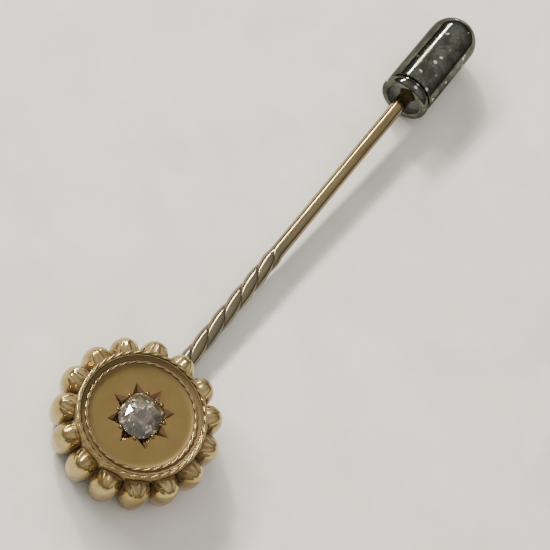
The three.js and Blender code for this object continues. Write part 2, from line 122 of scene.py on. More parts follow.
# ---- head ----
ROPE_TURNS_INNER = 18
ROPE_TURNS_OUTER = 20
ROPE_STEPS_PER_TURN = 12
ROPE_SECTION = 10
STRAND_SHARE = 0.56  # of the rope's radius
RING_SIDES = 144
COVE_STEPS = 8
COVE_EDGE = 0.06  # thickness of the cove's inner edge
LOBE_COUNT = 15
LOBE_TRACK = BAND_OUT + 0.51
LOBE_R = LOBE_TRACK * math.sin(math.pi / LOBE_COUNT) - 0.012
LOBE_TOP = RIM_Z - 0.2
LOBE_BOTTOM = PLATE_LOW.z - 0.8
LOBE_WAIST = 0.62
LOBE_FILED_Z = 0.81
FILED_HOLLOW = ((0.72, 0), (0.55, 1.6))  # shares of the rim's width, and rises
SHOULDER_FULLNESS = 0.4
LOBE_BLUNT_BELOW = 0.72  # a lower power makes a squarer end
LOBE_BLUNT_ABOVE = 0.85
GIRTH_SPREAD = 0.025  # how much one lobe may differ from the next
LEAN_SPREAD = 0.03
HEIGHT_SPREAD = 0.09
REACH_SPREAD = 0.05
FLUTE_TURN_SPREAD = 0.06
FLUTE_WEAR = (0.55, 1.1)
FLUTE_PIVOT = 0.4  # the flutes fan out from a point this far beyond the lobe's tip
FLUTE_SPACING = math.radians(18)
FLUTE_SPAN = math.radians(42)
FLUTE_DEPTH = 0.12
FLUTE_LENGTH = 1.25

# ---- solder that holds the stem's tail on the back plate ----
SOLDER_PAST_TAIL = 0.2
SOLDER_BACK = 0.25
SOLDER_HALF_WIDTH = 1.25
SOLDER_HEIGHT = 0.42
SOLDER_SUNK = 0.1

# ---- stone and its star ----
STONE_HALF_X = STONE_HIGH.x
STONE_HALF_Y = STONE_HIGH.y
STONE_SQUARENESS = 2.5
STONE_GAP = 0.03
GIRDLE_HALF = 0.05
WELL_DEPTH = 0.28  # of the stone's seat below its girdle
CULET_SHARE = 0.12  # of the stone's width
# rings round the disc's edge: in from the rope, up from the face, and the painted shade with
# grime there
DISC_FILLET = ((0.5, 0, 0), (0.25, 0.012, 0.1), (0.1, 0.05, 0.45), (0, 0.12, 0.9))
GIRDLE_Z = FACE_Z - 0.05
CROWN_TOP = STONE_HIGH.z
CULET_Z = STONE_LOW.z
GRAIN_R = 0.2
GRAIN_SUNK = 0.03
RAY_COUNT = 8
RAY_TIP_R = STONE_HALF_X + 0.95
RAY_DEPTH = 0.32
RAY_HALF_ANGLE = math.radians(16)

# ---- clutch; distances are behind the collar's mouth ----
MOUTH_X = COLLAR_LOW.x
COLLAR_END = COLLAR_HIGH.x - MOUTH_X
FLANGE_R = COLLAR_HIGH.y
FLANGE_LENGTH = 0.95
FLANGE_ROUND = 0.42
MOUTH_ROUND = 0.16
CAP_OUT = CAP_HIGH.y
CAP_START = CAP_LOW.x - MOUTH_X
CAP_END = CAP_HIGH.x - MOUTH_X
CAP_WALL = 0.3
CAP_EDGE_ROUND = 0.18
NOSE_FLAT = 0.0015
SLIDE_GAP = 0.04
NECK_R = CAP_OUT - 0.18
NECK_END = CAP_START - 0.05
COLLAR_WALL = 0.16
RECESS_STEP = 0.31
COLLAR_OUT = CAP_OUT - CAP_WALL - SLIDE_GAP
COLLAR_IN = COLLAR_OUT - COLLAR_WALL
RECESS_R = COLLAR_OUT - RECESS_STEP
RECESS_DEPTH = 0.9
GUIDE_R = 0.78
GUIDE_END = 1.5
CONE_START_R = 1.14
CONE_END = 3.75
CAGE_OUT = 1.2
CLUTCH_SIDES = 112
SOCKET_DEPTH = 1.5  # how far the cage is pressed into the cap
COIL_WIRE_R = 0.1
COIL_TURNS = 5
COIL_STEPS_PER_TURN = 36
COIL_SECTION = 12
PULL = next(joint for joint in frame["joints"] if joint["name"] == "cap_pull")
PULL_LENGTH = PULL["range_m"][1] / MM  # how far the cap squeezes the spring

EDGE_GLOSS = (0.52, 0.52, 0.51, 1)  # of tarnished metal seen along its surface
DIAMOND_IOR = 2.42
SHADE_AND_GRIME_LAYER = "hollow"  # vertex value for painted shade and grime: 1 deep in a crease, 0 out in the open
MERGE_DISTANCE = 0.0005
TINY = 1e-6
SHARP_ANGLE = math.radians(38)
STAR_SHARP_ANGLE = math.radians(24)


# ======== shader nodes ========


class Value:
    """A number that varies over a surface; arithmetic on it adds Math nodes."""

    def __init__(self, finish, socket):
        self.finish = finish
        self.socket = socket

    def math(self, operation, *terms):
        return self.finish.add(
            "ShaderNodeMath", {"operation": operation}, dict(enumerate(terms))
        )

    def __add__(self, other):
        return self.math("ADD", self, other)

    __radd__ = __add__

    def __mul__(self, other):
        return self.math("MULTIPLY", self, other)

    __rmul__ = __mul__

    def __sub__(self, other):
        return self.math("SUBTRACT", self, other)

    def __rsub__(self, other):
        return self.math("SUBTRACT", other, self)

    def between(self, low, high):
        """0 below low, 1 above high, smooth in between."""
        return self.finish.add(
            "ShaderNodeMapRange",
            {"interpolation_type": "SMOOTHSTEP"},
            {"Value": self, "From Min": low, "From Max": high},
        )


class Finish:
    """A surface finish: one Principled shader and the nodes that vary it."""

    def __init__(self, name, **uniform):
        self.material = bpy.data.materials.new(name)
        self.material.use_nodes = True
        self.tree = self.material.node_tree
        self.shader = self.tree.nodes["Principled BSDF"]
        for socket, value in uniform.items():
            self.shader.inputs[socket.replace("_", " ")].default_value = value

    def add(self, kind, settings, sockets, output=0):
        """Adds a node: its type, its settings, then its sockets' values or links."""
        node = self.tree.nodes.new(kind)
        for setting, value in settings.items():
            setattr(node, setting, value)
        for socket, value in sockets.items():
            if isinstance(value, Value):
                self.tree.links.new(value.socket, node.inputs[socket])
            else:
                node.inputs[socket].default_value = value
        return Value(self, node.outputs[output])

    def put(self, **inputs):
        """Feeds the shader's own sockets."""
        for socket, value in inputs.items():
            self.tree.links.new(value.socket, self.shader.inputs[socket.replace("_", " ")])

    def millimetres(self, stretch=(1, 1, 1)):
        """Object coordinates in millimetres, scaled along each axis."""
        place = self.add("ShaderNodeTexCoord", {}, {}, "Object")
        scale = [s / MM for s in stretch]
        return self.add("ShaderNodeMapping", {}, {"Vector": place, "Scale": scale})

    def noise(self, size, detail=3.0, stretch=(1, 1, 1), roughness=0.5):
        """Soft noise with features of about that size in millimetres."""
        sockets = {
            "Vector": self.millimetres(stretch),
            "Scale": 1 / size,
            "Detail": detail,
            "Roughness": roughness,
        }
        return self.add("ShaderNodeTexNoise", {}, sockets)

    def cells(self, size):
        """Distance to the nearest of scattered points, in shares of that size."""
        sockets = {"Vector": self.millimetres(), "Scale": 1 / size}
        return self.add("ShaderNodeTexVoronoi", {}, sockets)

    def patches(self, size):
        """Flat-sided patches of about that size, each with its own value."""
        sockets = {"Vector": self.millimetres(), "Scale": 1 / size}
        return self.add("ShaderNodeTexVoronoi", {"distance": "MANHATTAN"}, sockets, 1)

    def hollow(self):
        """How deep in a crease the form says a place is; the finishes paint shade and grime from
        it.
        """
        settings = {"attribute_name": SHADE_AND_GRIME_LAYER}
        return self.add("ShaderNodeAttribute", settings, {}, "Fac")

    def along(self, axis):
        """The place along an axis, in millimetres."""
        return self.add("ShaderNodeSeparateXYZ", {}, {0: self.millimetres()}, axis)

    def blend(self, factor, first, second):
        """Two colours mixed; the factor 0 gives the first."""
        sockets = {0: factor, 6: first, 7: second}
        return self.add("ShaderNodeMix", {"data_type": "RGBA"}, sockets, 2)

    def bump(self, height, depth, strength=1.0, under=None):
        """Relief of that depth in millimetres over an optional coarser relief."""
        sockets = {"Height": height, "Distance": depth * MM, "Strength": strength}
        if under:
            sockets["Normal"] = under
        return self.add("ShaderNodeBump", {}, sockets)


def rgb(red, green, blue):
    """A colour for a socket from the 0 to 255 values of a colour picker."""
    def linear(c):
        c /= 255
        return c / 12.92 if c <= 0.04045 else ((c + 0.055) / 1.055) ** 2.4
    return (linear(red), linear(green), linear(blue), 1)


# ======== finishes ========


def polished_gold():
    """Old gold: bright on the crests, coppery tarnish down in the hollows, and painted shade
    with grime that darkens and dulls them.
    """
    gold = Finish("polished_gold")
    tarnish = gold.noise(1.6, 4).between(0.35, 0.7)
    hollow = gold.hollow()
    # painted shade with grime: a darker, duller colour deep in the creases
    shade_and_grime = (hollow * (0.55 + 0.9 * gold.noise(0.5, 4))).between(0.2, 0.95)
    yellow = gold.blend(tarnish, rgb(182, 162, 110), rgb(150, 127, 84))
    coppery = gold.blend(hollow.between(0.1, 1.0), yellow, rgb(160, 130, 94))
    gold.put(Base_Color=gold.blend(shade_and_grime, coppery, rgb(130, 108, 78)))
    gold.put(Metallic=1 - 0.9 * shade_and_grime)
    gold.put(Roughness=0.15 + 0.16 * tarnish + 0.3 * shade_and_grime)
    dimples = gold.noise(0.6, 3) + 0.45 * gold.cells(0.8)
    worn = gold.bump(dimples, 0.05, 0.7)
    gold.put(Normal=gold.bump(gold.noise(0.09, 2), 0.003, 0.5, worn))
    return gold


def bloomed_gold():
    """Matte gold with an acid bloom: fine frosting and slow changes of colour."""
    gold = Finish("bloomed_gold")
    cloud = gold.noise(2.4, 3).between(0.3, 0.72)
    hollow = gold.hollow()
    base = gold.blend(cloud, rgb(135, 114, 72), rgb(126, 105, 65))
    # painted shade with grime: darker and less metallic where the form lies deep
    shade_and_grime = hollow.between(0.1, 1.0)
    gold.put(Base_Color=gold.blend(shade_and_grime, base, rgb(118, 96, 64)))
    gold.put(Metallic=1 - 0.7 * shade_and_grime)
    gold.put(Roughness=0.46 + 0.1 * cloud + 0.3 * hollow)
    frost = gold.bump(gold.noise(0.06, 2), 0.004, 0.6)
    gold.put(Normal=gold.bump(gold.noise(1.3, 2), 0.02, 0.3, frost))
    return gold


def bright_cut():
    """The graver's polished facets, with painted shade and grime at the bottoms."""
    gold = Finish("bright_cut")
    hollow = gold.hollow()
    # painted shade with grime at the bottoms of the cuts
    shade_and_grime = (hollow * (0.6 + 0.8 * gold.noise(0.3, 3))).between(0.4, 1.05)
    gold.put(Base_Color=gold.blend(shade_and_grime, rgb(142, 112, 82), rgb(76, 58, 48)))
    gold.put(Metallic=1 - 0.5 * shade_and_grime)
    gold.put(Roughness=0.12 + 0.3 * shade_and_grime)
    scratches = gold.noise(0.12, 2, (1, 1, 3))
    gold.put(Normal=gold.bump(scratches, 0.004, 0.4))
    return gold


def wire_gold():
    """Pale hard gold of the stem, drawn lengthways, tarnished grey near the head."""
    gold = Finish("wire_gold", Metallic=1.0)
    grey = 1 - gold.along("X").between(-8, 12)
    streaks = gold.noise(0.22, 3, (0.06, 1, 1))
    patches = gold.noise(1.4, 3, (0.5, 1, 1)).between(0.4, 0.75)
    # painted shade: the twist's creases turn a dark colour
    crease = gold.hollow().between(0.35, 1.0)
    bright = gold.blend(streaks.between(0.3, 0.75), rgb(156, 138, 100), rgb(128, 110, 76))
    dulled = gold.blend(grey * (0.6 + 0.4 * patches), bright, rgb(112, 108, 92))
    gold.put(Base_Color=gold.blend(crease * (0.5 + 0.5 * patches), dulled, rgb(78, 70, 56)))
    gold.put(Roughness=0.1 + 0.1 * streaks + 0.1 * patches * grey + 0.25 * crease)
    drawn = gold.bump(streaks, 0.003, 0.4)
    gold.put(Normal=gold.bump(gold.noise(0.8, 2), 0.012, 0.4, drawn))
    return gold


def dark_nickel():
    """Dark plated clutch: mottled tarnish, low dents, small spots worn to bright metal that also
    paint glints, and painted shade towards its +Y side.
    """
    nickel = Finish("dark_nickel", Specular_Tint=EDGE_GLOSS)
    cloud = nickel.noise(1.3, 5, roughness=0.62).between(0.4, 0.62)
    # small spots worn to bright metal, which also paint glints on the clutch
    spots = 1 - nickel.cells(0.95).between(0.13, 0.25)
    chosen = spots * nickel.noise(1.1, 1).between(0.5, 0.55)
    pits = 1 - nickel.cells(0.42).between(0.1, 0.3)
    inside = nickel.hollow()
    # painted shade: the clutch turns darker towards its +Y side
    painted_shade_side = nickel.along("Y").between(0.7, 1.9)
    dark = nickel.blend(cloud, rgb(104, 108, 99), rgb(76, 73, 64))
    side_shaded = nickel.blend(painted_shade_side * 0.5, dark, rgb(62, 62, 56))
    pitted = nickel.blend(pits * 0.5, side_shaded, rgb(50, 47, 40))
    worn = nickel.blend(chosen, pitted, rgb(235, 232, 224))
    nickel.put(Base_Color=nickel.blend(inside, worn, rgb(132, 134, 130)))
    nickel.put(Metallic=1 - 0.85 * inside)
    nickel.put(Roughness=0.06 + 0.1 * cloud + 0.12 * pits * cloud + 0.5 * inside)
    dents = nickel.bump(nickel.noise(1.7, 2), 0.012, 0.4)
    relief = nickel.noise(0.25, 3) - 0.6 * pits + chosen
    nickel.put(Normal=nickel.bump(relief, 0.002, 0.12, dents))
    return nickel


def spring_steel():
    """Bright hard steel of the parts inside the clutch, with a film of old oil."""
    steel = Finish("spring_steel", Metallic=1.0)
    oil = steel.noise(0.9, 4).between(0.4, 0.75)
    turning = steel.noise(0.08, 2, (1, 0.25, 0.25))
    steel.put(Base_Color=steel.blend(oil, rgb(188, 188, 184), rgb(128, 116, 96)))
    steel.put(Roughness=0.18 + 0.14 * oil + 0.1 * turning)
    steel.put(Normal=steel.bump(turning, 0.003, 0.5))
    return steel


def diamond_finish():
    """Old cut stone: its base colour paints the inner facets' sparkle, white patches as painted
    highlights and dark grey ones as painted reflections, under a trace of grease.
    """
    stone = Finish(
        "diamond", Transmission_Weight=0.35, IOR=DIAMOND_IOR, Specular_IOR_Level=0.3
    )
    large = stone.patches(0.55).between(0.15, 0.95)
    small = stone.patches(0.27)
    # painted highlights: the patches that turn near white
    painted_glint = (large * small + 0.3 * small).between(0.7, 0.95)
    # painted dark reflections: how dark the other patches are
    depth = (large * 0.5 + small * 0.5).between(0.2, 0.75)
    grey = stone.blend(depth, rgb(52, 43, 29), rgb(118, 104, 78))
    stone.put(Base_Color=stone.blend(painted_glint, grey, rgb(240, 236, 224)))
    stone.put(Roughness=0.02 + 0.06 * small)
    stone.put(Normal=stone.bump(large + 0.7 * small, 0.06, 0.7))
    return stone


def paper():
    """A sheet of plain pale paper, faintly mottled, with a fine tooth."""
    sheet = Finish("pale_paper", Roughness=0.9)
    mottle = sheet.noise(9, 4, roughness=0.62).between(0.32, 0.7)
    blush = sheet.noise(6, 3).between(0.45, 0.7)
    tooth = sheet.noise(0.5, 4)
    grey = sheet.blend(mottle, rgb(226, 223, 213), rgb(211, 209, 199))
    sheet.put(Base_Color=sheet.blend(blush, grey, rgb(222, 214, 207)))
    soft = sheet.bump(sheet.noise(5, 3), 0.1, 0.4)
    sheet.put(Normal=sheet.bump(tooth, 0.02, 0.4, soft))
    return sheet


POLISHED = polished_gold()
BLOOMED = bloomed_gold()
BRIGHT_CUT = bright_cut()
WIRE = wire_gold()
NICKEL = dark_nickel()
STEEL = spring_steel()
DIAMOND = diamond_finish()


# ======== making and finishing forms ========


def new_form():
    form = bmesh.new()
    form.verts.layers.float.new(SHADE_AND_GRIME_LAYER)
    return form


def smooth_step(x, low, high):
    part = min(max((x - low) / (high - low), 0), 1)
    return part * part * (3 - 2 * part)


def mix(first, second, part):
    return first + (second - first) * part


def piece(name, form, finishes, slot, body, *nodes, sharp=SHARP_ANGLE):
    """Cleans a form, sets it down in the frame and makes it the named piece."""
    bmesh.ops.remove_doubles(form, verts=form.verts, dist=MERGE_DISTANCE)
    bmesh.ops.recalc_face_normals(form, faces=form.faces)
    for face in form.faces:
        face.smooth = True
    for edge in form.edges:
        edge.smooth = edge.is_manifold and edge.calc_face_angle() < sharp
    bmesh.ops.transform(form, matrix=PLACE, verts=form.verts)
    mesh = bpy.data.meshes.new(name)
    form.to_mesh(mesh)
    form.free()
    for finish in finishes:
        mesh.materials.append(finish.material)
    made = bpy.data.objects.new(name, mesh)
    bpy.context.scene.collection.objects.link(made)
    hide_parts(*nodes)
    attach(made, body)
    return made


def chain(form, corners, shut):
    """A line of edges through (radius, height, rounding) corners in the XZ plane."""
    points = [form.verts.new((r, 0, h)) for r, h, _ in corners]
    following = points[1:] + (points[:1] if shut else [])
    for first, second in zip(points, following):
        form.edges.new((first, second))
    for rounding in sorted({corner[2] for corner in corners} - {0}):
        chosen = [p for p, corner in zip(points, corners) if corner[2] == rounding]
        bmesh.ops.bevel(
            form, geom=chosen, offset=rounding, segments=max(3, round(rounding / 0.06)),
            profile=0.5, affect="VERTICES", material=-1,
        )


def loop_edges(verts):
    """The edges that join the given vertices, always in the same order."""
    chosen = set(verts)
    found = [e for v in verts for e in v.link_edges if chosen >= set(e.verts)]
    return list(dict.fromkeys(found))


def turned(corners, sides, shut=True):
    """A form turned about Z from a profile of (radius, height, rounding) corners."""
    form = new_form()
    chain(form, corners, shut)
    bmesh.ops.spin(
        form, geom=form.verts[:] + form.edges[:], cent=(0, 0, 0), axis=(0, 0, 1),
        dvec=(0, 0, 0), angle=FULL_TURN, steps=sides, use_merge=True,
    )
    bmesh.ops.remove_doubles(form, verts=form.verts, dist=MERGE_DISTANCE)
    return form


def turned_on_stem(corners):
    """A clutch form: heights of the profile become distances behind the mouth."""
    form = turned(corners, CLUTCH_SIDES)
    lay_down = Matrix.Rotation(RIGHT_ANGLE, 4, "Y")
    matrix = Matrix.Translation((MOUTH_X, 0, 0)) @ lay_down
    bmesh.ops.transform(form, matrix=matrix, verts=form.verts)
    return form


# ======== stem ========


def stem_section(x, across, up):
    """Where a point of the unit circle goes in the stem's section, and its hollow."""
    flat = 1 - smooth_step(x, TAIL_FLAT_END, TAIL_ROUND)
    twisted = smooth_step(x, TWIST_START, TWIST_START + TWIST_BLEND)
    twisted *= 1 - smooth_step(x, TWIST_END - TWIST_BLEND, TWIST_END)
    strand = abs(across) ** TWIST_FULLNESS
    rope_r = mix(TWIST_WAIST, TWIST_CREST, strand)
    radius = mix(STEM_R, rope_r, twisted)
    y = across * mix(radius, TAIL_HALF_WIDTH, flat)
    z = up * mix(radius, TAIL_HALF_HEIGHT, flat)
    turn = -FULL_TURN * (min(max(x, TWIST_START), TWIST_END) - TWIST_START) / TWIST_PITCH
    point = max(x - (STEM_END - POINT_LENGTH), 0) / POINT_LENGTH
    tail = max(TAIL_END_ROUND - (x - PIN_LOW.x), 0) / TAIL_END_ROUND
    narrowed = (1 - point**POINT_FULLNESS) * math.sqrt(1 - TAIL_NARROWING * tail * tail)
    place = Matrix.Rotation(turn, 2) @ Vector((y, z)) * narrowed
    lift = flat * (STEM_R - TAIL_HALF_HEIGHT)
    roof = TAIL_TOP if x < TAIL_ROUND else math.inf
    # how much shade is painted in the twist's crease
    hollow = twisted * (1 - strand) ** CREASE_WIDTH
    return place.x, min(place.y + lift, roof), hollow


def pin_stem():
    form = new_form()
    grain = form.verts.layers.float[SHADE_AND_GRIME_LAYER]
    bmesh.ops.create_circle(form, segments=WIRE_SIDES, radius=1)
    stand = Matrix.Translation((PIN_LOW.x, 0, 0)) @ Matrix.Rotation(RIGHT_ANGLE, 4, "Y")
    bmesh.ops.transform(form, matrix=stand, verts=form.verts)
    end_of_line = form.verts[:] + form.edges[:]
    point_start = STEM_END - POINT_LENGTH
    stretches = [
        (PIN_LOW.x, PIN_LOW.x + TAIL_END_ROUND, 6),
        (PIN_LOW.x + TAIL_END_ROUND, TWIST_START, 24),
        (TWIST_START, TWIST_END, 180),
        (TWIST_END, point_start, 24),
        (point_start, STEM_END, 20),
    ]
    for start, end, steps in stretches:
        drawn = bmesh.ops.spin(
            form, geom=end_of_line, cent=(0, 0, 0), axis=(1, 0, 0),
            dvec=((end - start) / steps, 0, 0), angle=0, steps=steps,
        )
        end_of_line = drawn["geom_last"]
    for vert in form.verts:
        y, z, hollow = stem_section(vert.co.x, vert.co.y, vert.co.z)
        vert.co.y, vert.co.z = y, z
        vert[grain] = hollow
    bmesh.ops.remove_doubles(form, verts=form.verts, dist=MERGE_DISTANCE)
    bmesh.ops.holes_fill(form, edges=form.edges, sides=0)
    piece("stem_wire", form, [WIRE], "wire_gold", "pin", "pin_stem")


# ======== rope wires and rings ========


def rope_wire(name, node, low, high, turns):
    """Two strands laid round each other and bent into a ring."""
    wire_r = (high.z - low.z) / 2
    track = high.x - wire_r
    strand_r = wire_r * STRAND_SHARE
    lay = wire_r - strand_r
    form = new_form()
    grain = form.verts.layers.float[SHADE_AND_GRIME_LAYER]
    for strand in range(2):
        section = bmesh.ops.create_circle(form, segments=ROPE_SECTION, radius=strand_r)
        verts = section["verts"]
        edges = loop_edges(verts)
        stand = Matrix.Translation((track, 0, 0)) @ Matrix.Rotation(RIGHT_ANGLE, 4, "X")
        bmesh.ops.transform(form, matrix=stand, verts=verts)
        others = set(form.verts) - set(verts)
        bmesh.ops.spin(
            form, geom=verts + edges, cent=(0, 0, 0), axis=(0, 0, 1), dvec=(0, 0, 0),
            angle=FULL_TURN, steps=turns * ROPE_STEPS_PER_TURN, use_merge=True,
        )
        for vert in form.verts:
            if vert in others:
                continue
            angle = math.atan2(vert.co.y, vert.co.x)
            phase = turns * angle + strand * math.pi
            outward = Vector((math.cos(angle), math.sin(angle), 0))
            side = vert.co.xy.length - track + lay * math.cos(phase)
            rise = vert.co.z + lay * math.sin(phase)
            vert.co = outward * (track + side) + Vector((0, 0, rise))
            # painted shade with grime in the crevice between the strands
            vert[grain] = 1 - smooth_step(math.hypot(side, rise), 0.3 * wire_r, 0.78 * wire_r)
    bmesh.ops.translate(form, vec=(0, 0, (low.z + high.z) / 2), verts=form.verts)
    piece(name, form, [POLISHED], "polished_gold", "pin", node)


def paint_shade_and_grime(form, amount):
    """Gives a form's vertices the painted shade and grime value that amount works out from their
    place.
    """
    grain = form.verts.layers.float[SHADE_AND_GRIME_LAYER]
    for vert in form.verts:
        vert[grain] = amount(vert.co)


def rings_and_plates():
    sweep = []
    for i in range(COVE_STEPS + 1):
        part = i / COVE_STEPS
        rise = 1 - math.cos(part * RIGHT_ANGLE)
        height = mix(CHANNEL_LOW.z + COVE_EDGE, CHANNEL_HIGH.z, rise)
        sweep.append((mix(INNER_HIGH.x + GAP, CHANNEL_HIGH.x, part), height, 0))
    channel_base = [(CHANNEL_HIGH.x, CHANNEL_LOW.z, 0), (sweep[0][0], CHANNEL_LOW.z, 0)]
    channel = turned(sweep + channel_base, RING_SIDES)
    # painted shade with grime, darker towards the bottom of the cove
    paint_shade_and_grime(channel, lambda co: 0.95 - 0.25 * smooth_step(co.z, CHANNEL_LOW.z, RIM_Z))
    piece("cove_ring", channel, [BLOOMED], "bloomed_gold", "pin", "channel_ring")

    band = turned(
        [
            (BAND_IN, BAND_LOW.z, 0.05),
            (BAND_OUT, BAND_LOW.z, 0.05),
            (BAND_OUT, RIM_Z, 0.12),
            (BAND_IN, RIM_Z, 0.08),
        ],
        RING_SIDES,
    )
    # painted shade with grime, darker towards the bottom of the wall
    paint_shade_and_grime(band, lambda co: 0.5 - 0.2 * smooth_step(co.z, RIM_Z - 0.3, RIM_Z))
    piece("gallery_wall", band, [POLISHED], "polished_gold", "pin", "gallery_band")

    plate = turned(
        [
            (0, PLATE_LOW.z, 0),
            (BAND_OUT, PLATE_LOW.z, 0.14),
            (BAND_OUT, PLATE_HIGH.z, 0.05),
            (0, PLATE_HIGH.z, 0),
        ],
        RING_SIDES,
        shut=False,
    )
    solder = bmesh.ops.create_uvsphere(plate, u_segments=40, v_segments=16, radius=1)
    half_length = (BAND_OUT - PIN_LOW.x) / 2 + SOLDER_PAST_TAIL
    spread = Matrix.Diagonal((half_length, SOLDER_HALF_WIDTH, SOLDER_HEIGHT, 1))
    middle_x = (BAND_OUT + PIN_LOW.x) / 2 - SOLDER_BACK
    middle = Matrix.Translation((middle_x, 0, PLATE_LOW.z + SOLDER_SUNK))
    bmesh.ops.transform(plate, matrix=middle @ spread, verts=solder["verts"])
    # painted shade with grime towards the plate's edge, where the lobes stand round it
    paint_shade_and_grime(plate, lambda co: 0.5 * smooth_step(co.xy.length, BAND_OUT - 1.2, BAND_OUT))
    piece("back_cover", plate, [POLISHED], "polished_gold", "pin", "back_plate")


# ======== star disc and stone ========


def cushion(angle, grow=0.0):
    """A point on the stone's cushion outline, widened by a clearance."""
    c, s = math.cos(angle), math.sin(angle)
    power = STONE_SQUARENESS
    reach = (abs(c) ** power + abs(s) ** power) ** (-1 / power)
    return (STONE_HALF_X + grow) * reach * c, (STONE_HALF_Y + grow) * reach * s


def star_outline():
    """The star's corners on the disc's face: a ray's two edges, its tip, and the waist."""
    sector = FULL_TURN / RAY_COUNT
    corners = []
    for ray in range(RAY_COUNT):
        middle = ray * sector
        edges = [cushion(middle + side * RAY_HALF_ANGLE, STONE_GAP) for side in (-1, 1)]
        tip = (RAY_TIP_R * math.cos(middle), RAY_TIP_R * math.sin(middle))
        root = cushion(middle, STONE_GAP)
        waist = cushion(middle + sector / 2, STONE_GAP)
        corners += [(edges[0], edges[0]), (tip, root), (edges[1], edges[1]), (waist, waist)]
    return corners


def stepped_in(form, verts):
    """Extrudes a loop of vertices and returns the new ones in the same order."""
    made = bmesh.ops.extrude_edge_only(form, edges=loop_edges(verts))["geom"]
    fresh = [g for g in made if isinstance(g, bmesh.types.BMVert)]
    return [min(fresh, key=lambda f, v=v: (f.co - v.co).length) for v in verts]


def face_disc():
    form = new_form()
    grain = form.verts.layers.float[SHADE_AND_GRIME_LAYER]
    outline = star_outline()
    star = bmesh.ops.create_circle(form, segments=len(outline), radius=1)["verts"]
    star.sort(key=lambda v: math.atan2(v.co.y, v.co.x) % FULL_TURN)
    for vert, (top, _) in zip(star, outline):
        vert.co = (*top, FACE_Z)
    rim = bmesh.ops.create_circle(form, segments=RING_SIDES, radius=DISC_OUT)["verts"]
    for vert in rim:
        vert.co.z = FACE_Z
        # the disc's rim against the rope: full painted shade and grime
        vert[grain] = 1.0
    loops = [star]
    seat = INNER_HIGH.x - (INNER_HIGH.z - INNER_LOW.z)
    for inset, rise, shade_and_grime in DISC_FILLET:
        loop = bmesh.ops.create_circle(form, segments=RING_SIDES, radius=seat - inset)["verts"]
        for vert in loop:
            vert.co.z = FACE_Z + rise
            vert[grain] = shade_and_grime
        loops.append(loop)
    loops.append(rim)
    for first, second in zip(loops, loops[1:]):
        bmesh.ops.bridge_loops(form, edges=loop_edges(first) + loop_edges(second))
    flat_faces = set(form.faces)

    valley = stepped_in(form, star)
    for vert, (_, root) in zip(valley, outline):
        depth = RAY_DEPTH if vert in valley[1::4] else 0
        vert.co = (*root, FACE_Z - depth)
        # painted shade and grime down the rays' bottoms
        vert[grain] = 0.9 if depth else 0.35
    rays = set(form.faces) - flat_faces
    # The stone's seat and cone get full painted shade and grime.
    well = stepped_in(form, valley)
    for vert in well:
        vert.co.z = GIRDLE_Z - GIRDLE_HALF - STONE_GAP - WELL_DEPTH
        vert[grain] = 1.0
    cone = stepped_in(form, well)
    for vert in cone:
        vert.co = (vert.co.x * CULET_SHARE, vert.co.y * CULET_SHARE, CULET_Z - STONE_GAP)
        vert[grain] = 1.0
    skirt = stepped_in(form, rim)
    for vert in skirt:
        vert.co.z = DISC_LOW.z
    bmesh.ops.holes_fill(form, edges=form.edges, sides=0)
    for face in form.faces:
        face.material_index = 0 if face in flat_faces else (1 if face in rays else 2)
    for number in range(RAY_COUNT):
        add_grain(form, (number + 0.5) * FULL_TURN / RAY_COUNT)
    finishes = [BLOOMED, BRIGHT_CUT, POLISHED]
    piece(
        "star_disc", form, finishes, "bloomed_gold", "pin", "face_disc", sharp=STAR_SHARP_ANGLE
    )


def add_grain(form, angle):
    """A grain of metal raised with the graver and pushed over the stone's edge."""
    made = bmesh.ops.create_icosphere(form, subdivisions=3, radius=GRAIN_R)["verts"]
    x, y = cushion(angle)
    out = Vector((x, y, 0)).normalized()
    middle = Vector((x, y, FACE_Z - GRAIN_SUNK)) + out * (GRAIN_R * 0.3)
    place = Matrix.Translation(middle)
    turn = Matrix.Rotation(math.atan2(y, x), 4, "Z") @ Matrix.Diagonal((0.95, 0.8, 0.75, 1))
    bmesh.ops.transform(form, matrix=place @ turn, verts=made)
    for face in {face for vert in made for face in vert.link_faces}:
        face.material_index = 1


def old_cut_diamond():
    """An old cushion brilliant: table, star and kite facets, and an open culet."""
    form = new_form()
    crown = CROWN_TOP - GIRDLE_Z
    pavilion = GIRDLE_Z - CULET_Z
    rings = [
        (8, 0.5, 0.46, CROWN_TOP),
        (8, 0.0, 0.76, GIRDLE_Z + 0.62 * crown),
        (16, 0.5, 1.0, GIRDLE_Z + GIRDLE_HALF),
        (16, 0.5, 1.0, GIRDLE_Z - GIRDLE_HALF),
        (8, 0.0, 0.5, GIRDLE_Z - 0.58 * pavilion),
        (8, 0.5, CULET_SHARE, CULET_Z),
    ]
    for count, shift, scale, z in rings:
        for i in range(count):
            x, y = cushion((i + shift) / count * FULL_TURN)
            form.verts.new((x * scale, y * scale, z))
    hull = bmesh.ops.convex_hull(form, input=form.verts)
    bmesh.ops.delete(form, geom=hull["geom_interior"], context="VERTS")
    bmesh.ops.dissolve_limit(
        form, angle_limit=math.radians(1), verts=form.verts, edges=form.edges
    )
    stone = piece("old_cut_diamond", form, [DIAMOND], "diamond", "pin", "diamond")
    for polygon in stone.data.polygons:
        polygon.use_smooth = False


# ======== lobes ========


